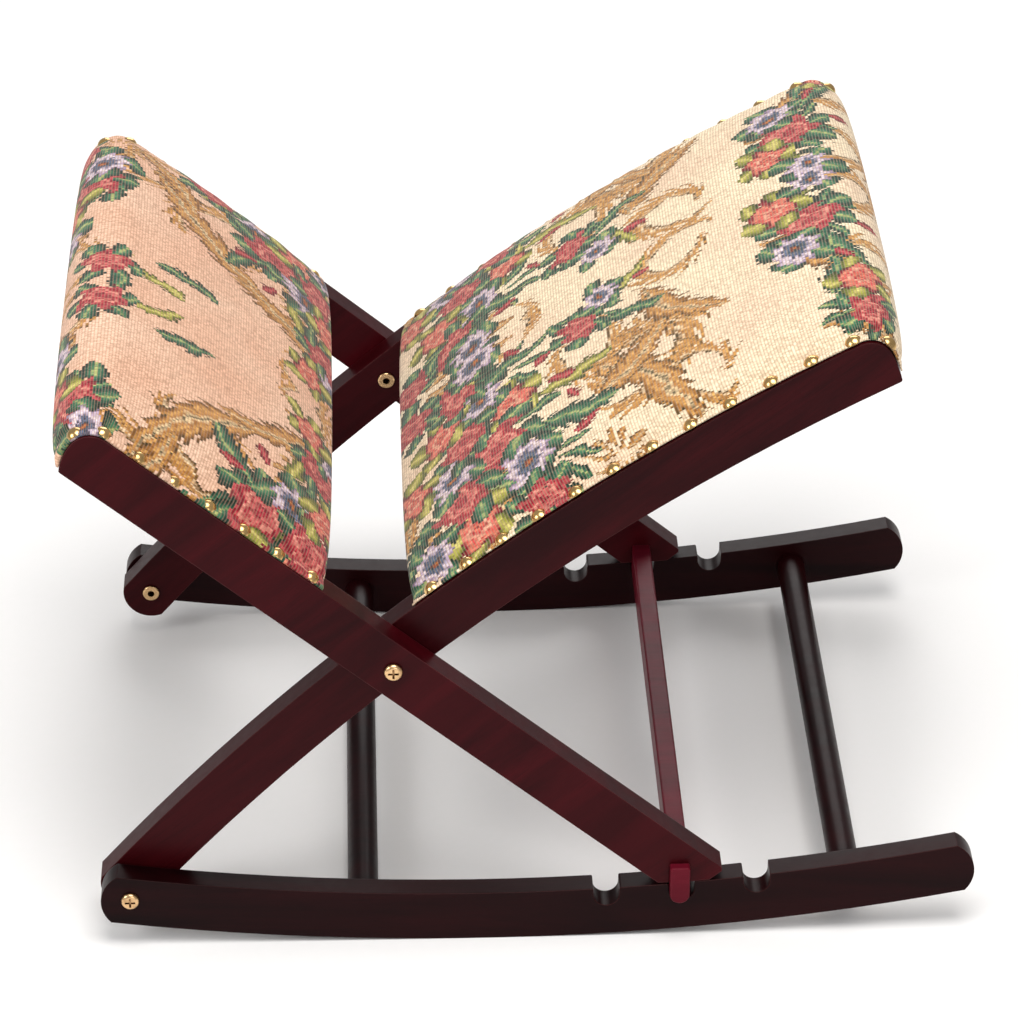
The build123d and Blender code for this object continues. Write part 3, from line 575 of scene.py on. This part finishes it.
def long_cover():
    cloth = Tapestry("cream_tapestry", swatch(255, 240, 206), swatch(250, 222, 192), 22.0)
    for motif, x, y, size, turn, stretch in [
        # the middle's scrolls, then the outer ones
        (scroll, 112, 162, 50, 2.2, -0.8), (scroll, 70, 132, 40, 0.4, 0.75),
        (scroll, 146, 196, 36, 3.9, 0.8), (scroll, 24, 196, 36, 5.2, -0.8),
        (scroll, 30, 286, 38, 2.0, 0.8), (scroll, 150, 8, 34, 1.2, 0.8),
        (scroll, 10, 92, 30, 3.4, 0.8), (scroll, 108, 300, 40, 4.2, -0.7),
        (straw, 172, 142, 24, 0.3, 0.7), (straw, 88, 178, 26, 1.3, 0.6),
        (gold, 96, 140, 88, 0.9, -0.8), (gold, 128, 130, 74, 1.9, 0.8),
        (gold, 46, 170, 66, 0.2, 1.0), (gold, 178, 60, 60, 2.4, 1.0),
        (gold, 60, 240, 74, 1.0, -1.0), (gold, 4, 30, 60, 1.1, 0.8),
        (gold, 158, 262, 60, 1.6, -1.0), (gold, 136, 10, 52, 2.8, 0.8),
        # the long posy along the lower half
        (grass, 104, 84, 40, 0.2, 0.8), (grass, 152, 104, 30, 1.2, 0.8), (grass, 50, 84, 34, 2.0, 0.8),
        (olive, 88, 104, 44, 1.3, 1.0), (olive, 140, 60, 46, -0.5, 1.0), (olive, 66, 58, 42, 2.6, 1.0),
        (leaf, 116, 108, 44, 1.0, 1.0), (leaf, 160, 80, 40, 1.9, 1.0), (leaf, 34, 62, 40, 1.2, 1.0),
        (leaf, 96, 40, 40, 4.6, 1.0), (leaf, 130, 28, 36, 5.4, 1.0),
        (bud, 82, 112, 15, 1.2, 1.0), (bud, 100, 120, 14, 0.7, 1.0), (bud, 138, 122, 15, 1.8, 1.0),
        (bud, 60, 104, 13, 2.2, 1.0), (bud, 24, 84, 14, 0.9, 1.0),
        (coral, 78, 88, 13, 0.5, 0.9), (rose, 112, 78, 19, 0.3, 0.85), (daisy, 140, 92, 15, 0.0, 0.85),
        (coral, 160, 56, 14, 2.0, 0.9), (rose, 134, 50, 17, 1.4, 0.85), (daisy, 108, 46, 15, 1.0, 0.85),
        (rose, 82, 56, 15, 2.8, 0.85), (daisy, 54, 70, 13, 0.6, 0.9), (coral, 58, 40, 14, 1.9, 0.9),
        (rose, 30, 52, 16, 3.9, 0.85), (daisy, 10, 66, 13, 2.2, 0.85), (daisy, 160, 24, 13, 0.4, 0.85),
        (coral, 96, 18, 13, 0.3, 0.9), (rose, 20, 18, 14, 0.9, 0.9), (rose, 170, 96, 13, 1.0, 0.9),
        # a small spray beyond the scrolls, and the posy of the roll
        (grass, 44, 140, 24, 1.0, 0.7), (leaf, 52, 150, 32, 0.9, 1.0), (olive, 36, 152, 30, 2.0, 1.0),
        (rose, 46, 132, 13, 0.7, 0.8), (daisy, 26, 148, 11, 0.3, 0.8), (bud, 30, 166, 13, 1.6, 1.0),
        (grass, 54, 268, 34, 0.4, 0.8), (leaf, 76, 274, 38, 0.2, 1.0), (olive, 30, 262, 40, 2.7, 1.0),
        (grass, 150, 286, 28, 1.4, 0.8), (leaf, 134, 270, 36, 2.8, 1.0),
        (rose, 54, 266, 17, 2.1, 0.85), (daisy, 80, 256, 13, 0.9, 0.85), (coral, 30, 250, 13, 0.2, 0.9),
        (bud, 66, 290, 15, 1.5, 1.0), (bud, 92, 276, 14, 0.5, 1.0), (rose, 152, 290, 14, 3.0, 0.9),
        (daisy, 8, 272, 12, 1.9, 0.9), (coral, 124, 288, 12, 0.8, 0.9),
    ]:
        cloth.lay(motif, x, y, size, turn, stretch)
    # warp colour, colour of the flecks of painted shade, how rare the flecks are, and the grooves'
    # painted shade and depth
    return cloth.weave(swatch(252, 238, 212), swatch(204, 168, 134), 0.7, 0.45)


def short_cover():
    cloth = Tapestry("peach_tapestry", swatch(240, 190, 160), swatch(248, 208, 180), -24.0)
    for motif, x, y, size, turn, stretch in [
        (scroll, 112, 92, 52, 5.6, 0.7), (scroll, 150, 134, 36, 2.0, -0.8),
        (scroll, 30, 180, 36, 0.9, 0.8), (scroll, 12, 36, 34, 3.9, 0.8),
        (gold, 72, 66, 96, 1.1, -0.8), (gold, 120, 110, 60, 0.2, 0.9), (gold, 60, 172, 60, 2.0, 1.0),
        (gold, 40, 20, 70, 0.7, 0.9), (straw, 88, 36, 24, 0.3, 0.8), (straw, 166, 160, 24, 0.3, 0.8),
        (grass, 138, 46, 40, 0.8, 0.8), (grass, 62, 22, 28, 0.2, 0.8), (grass, 120, 178, 34, 1.9, 0.8),
        (leaf, 118, 62, 40, 2.1, 1.0), (leaf, 152, 80, 40, 1.2, 1.0), (leaf, 80, 24, 34, 0.4, 1.0),
        (olive, 104, 40, 40, 2.9, 1.0), (olive, 168, 70, 36, 1.6, 1.0), (olive, 96, 176, 40, 2.4, 1.0),
        (leaf, 138, 172, 38, 0.6, 1.0), (leaf, 30, 96, 34, 1.1, 1.0), (olive, 8, 116, 30, 0.8, 1.0),
        (bud, 112, 70, 16, 1.8, 1.0), (bud, 94, 56, 15, 2.3, 1.0), (bud, 146, 150, 15, 1.4, 1.0),
        (daisy, 152, 66, 15, 0.3, 0.9), (rose, 132, 56, 18, 0.8, 0.9), (coral, 156, 36, 15, 1.9, 0.9),
        (daisy, 112, 36, 15, 1.2, 0.9), (rose, 134, 22, 16, 2.9, 0.9), (coral, 102, 12, 13, 0.4, 0.9),
        (rose, 170, 96, 14, 2.0, 0.9), (daisy, 172, 14, 13, 0.9, 0.9),
        (rose, 62, 18, 15, 1.4, 0.9), (daisy, 40, 8, 12, 0.6, 0.9), (coral, 30, 30, 12, 2.2, 0.9),
        (rose, 118, 172, 17, 0.4, 0.9), (daisy, 142, 166, 14, 1.3, 0.9), (coral, 98, 190, 13, 2.4, 0.9),
        (daisy, 66, 190, 13, 0.1, 0.9), (rose, 168, 188, 14, 1.1, 0.9), (rose, 20, 160, 13, 0.3, 0.9),
    ]:
        cloth.lay(motif, x, y, size, turn, stretch)
    # warp colour, colour of the flecks of painted shade, how rare the flecks are, and the grooves'
    # painted shade and depth
    return cloth.weave(swatch(244, 208, 182), swatch(196, 140, 112), 0.62, 0.36)


# The pads' shapes: each follows its legs' top edges from a lower edge near the crossing, rolls
# over the rounded upper end and stops on the rail. The cloth is pulled down by the nails.
former_radius = 1.285
leg_half = 0.014
end_round = 0.012
leg_side = {"short": 0.170, "long": 0.1538}  # outer faces of the legs, from the middle
hem_inset = 0.0016
nail_inset = 0.0049
hem_width = 0.0079
crown = 0.019
lower_edge = 0.009
roll_edge = 0.013
roll_tip = 0.005
hem_flat = 0.0013  # cloth under a nail's head
hem_puff = 0.0021  # between two nails
crown_run = 0.35  # share of the leg's length over which the crown rises, and falls again
nail_hold = 0.0055  # how far round a nail the hem is pressed flat
pull_width = 0.006  # a nail's pull on the swell: along the row,
pull_depth = 0.009  # inwards from the hem,
pull_share = 0.16  # and as a share of the swell
end_nail_turn = radians(74.0)  # round the upper end, from the top edge
roll_gap = 0.00035  # leg's rounded end to the cloth
tuck = 0.0009  # breadth of the edge that is turned under
end_tuck_lift = 0.0002  # that edge above the leg, at the pad's two ends
side_tuck_lift = 0.0001
tip = 0.0035  # cloth's ends to where it stands at its full height
edge_drop = {"top": 0.0, "brow": 0.0011, "wall": 0.0038}
least_height = 0.35  # share of its height that a dropped edge keeps
held_inset = 0.0005  # takes in the column on the hem's inner edge
cell = 0.0036
cloth_frames = 16
most_movement = 0.0022


class PadPath:
    """Where one pad's cloth lies: t runs up the leg and round its end, in metres."""

    def __init__(self, name, start, reach, heel, drop, nails, gap):
        self.name = name
        self.start = start
        self.reach = reach
        self.heel = heel
        self.gap = gap
        self.turn = pi / 2 + asin((drop + leg_half - end_round) / heel)
        self.straight = reach - start
        self.quarter = end_round * pi / 2
        self.length = self.straight + self.quarter + heel * (self.turn - pi / 2)
        count, first, last = nails
        pitch = (reach + last - start - first) / (count - 1)
        self.nails = [first + pitch * n for n in range(count)]
        self.nails.append(self.straight + end_round * end_nail_turn)
        self.cover_half = leg_side[name] - hem_inset
        self.margin = self.cover_half - hem_width
        self.nail_side = leg_side[name] - nail_inset

    def run(self, s, rise):
        """Point, direction along and direction out of the leg's middle line, in the side view."""
        if self.name == "short":
            along = Vector((-cos(short_slope), 0, sin(short_slope)))
            out = Vector((sin(short_slope), 0, cos(short_slope)))
            return crossing + along * s + out * rise, along, out
        half_chord = (crossing - rocker_pin) / 2
        back = sqrt(former_radius**2 - half_chord.length**2) / half_chord.length
        centre = rocker_pin + half_chord + Vector((half_chord.z * back, 0, -half_chord.x * back))
        angle = atan2(crossing.z - centre.z, crossing.x - centre.x) - s / former_radius
        out = Vector((cos(angle), 0, sin(angle)))
        along = Vector((sin(angle), 0, -cos(angle)))
        return centre + out * (former_radius + rise), along, out

    def place(self, t):
        """Point on the leg's outline, direction along it and direction out, at a distance t."""
        if t <= self.straight:
            return self.run(self.start + t, leg_half + self.gap)
        centre, along, out = self.run(self.reach, leg_half - end_round)
        bent = t - self.straight
        if bent <= self.quarter:
            angle = bent / end_round
            radius = end_round
        else:
            angle = pi / 2 + (bent - self.quarter) / self.heel
            radius = self.heel
            centre = centre - along * (self.heel - end_round)
        outward = out * cos(angle) + along * sin(angle)
        onward = along * cos(angle) - out * sin(angle)
        return centre + outward * (radius + roll_gap), onward, outward

    def thickness(self, t):
        """Height of the pad on its middle line."""
        share = t / self.straight
        if share < 1:
            rise = sin(pi / 2 * min(1.0, share / crown_run))
            fall = sin(pi / 2 * min(1.0, (1 - share) / crown_run))
            return min(
                lower_edge + (crown - lower_edge) * rise, roll_edge + (crown - roll_edge) * fall
            )
        share = (t - self.straight) / (self.length - self.straight)
        return roll_edge + (roll_tip - roll_edge) * share

    def height(self, u, t):
        """Height of the cloth above the leg's outline."""
        inside = self.margin - abs(u)
        near = min(hypot(abs(u) - self.nail_side, t - nail) for nail in self.nails)
        held = np.exp(-((near / nail_hold) ** 2))
        hem = hem_puff + (hem_flat - hem_puff) * held
        if inside <= 0:
            return hem
        share = inside / self.margin
        swell = (1 - (1 - share) ** 3) ** 0.42
        nearest = min(abs(t - nail) for nail in self.nails)
        pull = np.exp(-((nearest / pull_width) ** 2)) * np.exp(-inside / pull_depth)
        return hem + (self.thickness(t) - hem) * swell * (1 - pull_share * pull)


def grid_faces(rows, columns):
    """Four-cornered faces over a grid of points that runs row by row."""
    return [
        (r * columns + c, (r + 1) * columns + c, (r + 1) * columns + c + 1, r * columns + c + 1)
        for r in range(rows - 1)
        for c in range(columns - 1)
    ]


def cloth_sheet(path):
    """Grid of one cover: rows along the pad, columns across it, with the hem turned under."""
    edge = path.cover_half
    columns = int(path.margin / cell)
    inner = np.linspace(-1, 1, 2 * columns + 1)
    inner = np.sign(inner) * (1 - (1 - np.abs(inner)) ** 1.25) * path.margin
    hem = np.linspace(path.margin, edge - tuck, 4)[1:]
    across = [(-edge + tuck, "tuck"), (-edge, "turn")]
    across += [(-u, "top") for u in hem[::-1]] + [(u, "top") for u in inner]
    across += [(u, "top") for u in hem] + [(edge, "turn"), (edge - tuck, "tuck")]
    straight_rows = int((path.straight - tip) / cell)
    rows = [(0.0, "tuck"), (0.0, "wall"), (tuck, "brow")]
    rows += [(t, "top") for t in np.linspace(tip, path.straight, straight_rows)]
    round_rows = int((path.length - path.straight) / (cell * 0.6))
    rows += [(t, "top") for t in np.linspace(path.straight, path.length - tip, round_rows)[1:]]
    rows += [(path.length - tuck, "brow"), (path.length, "wall"), (path.length, "tuck")]
    points, places = [], []
    for t, row_kind in rows:
        origin, _, out = path.place(t)
        for u, column_kind in across:
            height = path.height(u, min(max(t, tip), path.length - tip))
            if row_kind == "tuck":
                lift = end_tuck_lift
            else:
                lift = max(height - edge_drop[row_kind], least_height * height)
            if column_kind == "turn":
                lift *= 0.5
            elif column_kind == "tuck":
                lift = side_tuck_lift
            points.append(origin + out * lift + Vector((0, u, 0)))
            places.append((u, t))
    width = len(across)
    grid = np.array(points).reshape(len(rows), width, 3)
    steps = np.linalg.norm(np.diff(grid, axis=1), axis=2).cumsum(axis=1)
    from_side = np.pad(steps, ((0, 0), (1, 0)))
    from_middle = from_side - from_side[:, width // 2, None]
    steps = np.linalg.norm(np.diff(grid[:, width // 2], axis=0), axis=1).cumsum()
    from_edge = np.pad(steps, (1, 0))[:, None] + np.zeros_like(from_middle)
    marks = np.stack([from_middle, from_edge, np.zeros_like(from_edge)], axis=2) * 1000
    faces = grid_faces(len(rows), width)
    mesh = bpy.data.meshes.new(f"{path.name}_pad")
    mesh.from_pydata(points, [], faces)
    cloth = mesh.attributes.new("cloth", "FLOAT_VECTOR", "POINT")
    cloth.data.foreach_set("vector", marks.astype(np.float32).ravel())
    mesh.polygons.foreach_set("use_smooth", [True] * len(faces))
    pad = bpy.data.objects.new(f"{path.name}_pad", mesh)
    scene.collection.objects.link(pad)
    held = [
        index
        for index, (u, t) in enumerate(places)
        if abs(u) > path.margin - held_inset or t < tip or t > path.length - tip
    ]
    return pad, held


def let_cloth_settle(pad, held):
    """Blow the cloth up a little against its nails, cap the movement, and keep the result."""
    before = np.array([vertex.co for vertex in pad.data.vertices])
    group = pad.vertex_groups.new(name="held")
    group.add(held, 1.0, "REPLACE")
    cloth = pad.modifiers.new("cloth", "CLOTH")
    cloth.settings.vertex_group_mass = "held"
    cloth.settings.quality = 5
    cloth.settings.mass = 0.3
    cloth.settings.tension_stiffness = 12
    cloth.settings.compression_stiffness = 12
    cloth.settings.bending_stiffness = 0.4
    cloth.settings.use_pressure = True
    cloth.settings.uniform_pressure_force = 2.0
    cloth.settings.shrink_min = -0.012
    cloth.settings.effector_weights.gravity = 0.0
    cloth.point_cache.frame_end = cloth_frames
    for step in range(1, cloth_frames + 1):
        scene.frame_set(step)
    settled = pad.evaluated_get(bpy.context.evaluated_depsgraph_get())
    after = np.array([vertex.co for vertex in settled.data.vertices])
    moved = after - before
    far = np.linalg.norm(moved, axis=1, keepdims=True)
    moved *= np.minimum(1.0, most_movement / np.maximum(far, 1e-9))
    pad.modifiers.clear()
    pad.vertex_groups.clear()
    scene.frame_set(1)
    pad.data.vertices.foreach_set("co", (before + moved).astype(np.float32).ravel())
    pad.data.update()


# The nails of a row: how many, the first from the pad's lower edge, the last from the reach.
pads = [
    PadPath(
        "short", start=0.058, reach=0.1935, heel=0.030, drop=0.012,
        nails=(7, 0.007, 0.0017), gap=0.0,
    ),
    PadPath(
        "long", start=0.026, reach=0.287, heel=0.075, drop=0.009,
        nails=(12, 0.012, -0.0026), gap=0.00012,
    ),
]
cover_finish = {"short": short_cover(), "long": long_cover()}
cloth_thickness = 0.0009
for path in pads:
    name = path.name
    pad, held = cloth_sheet(path)
    let_cloth_settle(pad, held)
    smooth = pad.modifiers.new("smooth", "SUBSURF")
    smooth.levels = 1
    smooth.render_levels = 1
    thick = pad.modifiers.new("thick", "SOLIDIFY")
    thick.thickness = cloth_thickness
    thick.offset = -1.0
    pad.data.materials.append(cover_finish[name])
    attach(pad, f"{name}_frame")
    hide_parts(f"{name}_pad_cover", f"{name}_pad_foam")


# ---------------------------------------------------------------- dome nails
# Pressed brass domes, hammered through the hem about every twenty-two millimetres, and one over
# each rounded end. Bright, with browner tarnish in blotches, and painted shade in the hollows.
nail_brass = brass("nail_brass", swatch(224, 184, 122), swatch(78, 48, 24), 0.14, 2200.0)
for name in ("short", "long"):
    dress(nail_brass, f"{name}_nails_front", f"{name}_nails_back")


# ---------------------------------------------------------------- linings
# A thin black lining cloth under each seat board between the legs, slack enough to hang two
# and a half millimetres in the middle.
lining = Finish("lining_cloth")
threads = lining.node("TexCoord", outlet=3)
warp_weft = lining.noise(lining.vector("MULTIPLY", threads, (900.0, 900.0, 900.0)), 1.0, 2.0)
lining.surface(
    Base_Color=lining.mix(warp_weft, swatch(22, 20, 21), swatch(48, 45, 46)),
    Roughness=lining.spread(warp_weft, 0.3, 0.7, 0.8, 0.95),
    Normal=lining.bump(warp_weft, 0.4, 0.0002),
)
lining_inset = 0.004
lining_sag = 0.0025
lining_gap = 0.0002  # under the seat board
board_inset = 0.0024  # pad's lower edge to the seat board's
leg_inner = {"short": 0.155, "long": 0.1388}  # inner faces of the legs, from the middle
rail_width = 0.030
for path in pads:
    name = path.name
    start = board_inset + lining_inset
    stop = path.straight + end_round - rail_width - lining_inset
    half_span = leg_inner[name] - lining_inset
    length_steps, width_steps = 26, 30
    points = []
    for row in range(length_steps + 1):
        share = row / length_steps
        origin, _, out = path.run(path.start + start + (stop - start) * share, leg_half)
        for column in range(width_steps + 1):
            side = column / width_steps * 2 - 1
            slack = (1 - side**2) * sin(pi * share) ** 0.6 if 0 < share < 1 else 0.0
            drop = lining_gap + lining_sag * slack
            points.append(origin + Vector((0, side * half_span, 0)) - out * drop)
    faces = grid_faces(length_steps + 1, width_steps + 1)
    mesh = bpy.data.meshes.new(f"{name}_lining_cloth")
    mesh.from_pydata(points, [], faces)
    mesh.polygons.foreach_set("use_smooth", [True] * len(faces))
    mesh.materials.append(lining.material)
    sheet = bpy.data.objects.new(f"{name}_lining_cloth", mesh)
    scene.collection.objects.link(sheet)
    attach(sheet, f"{name}_frame")
    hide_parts(f"{name}_lining")
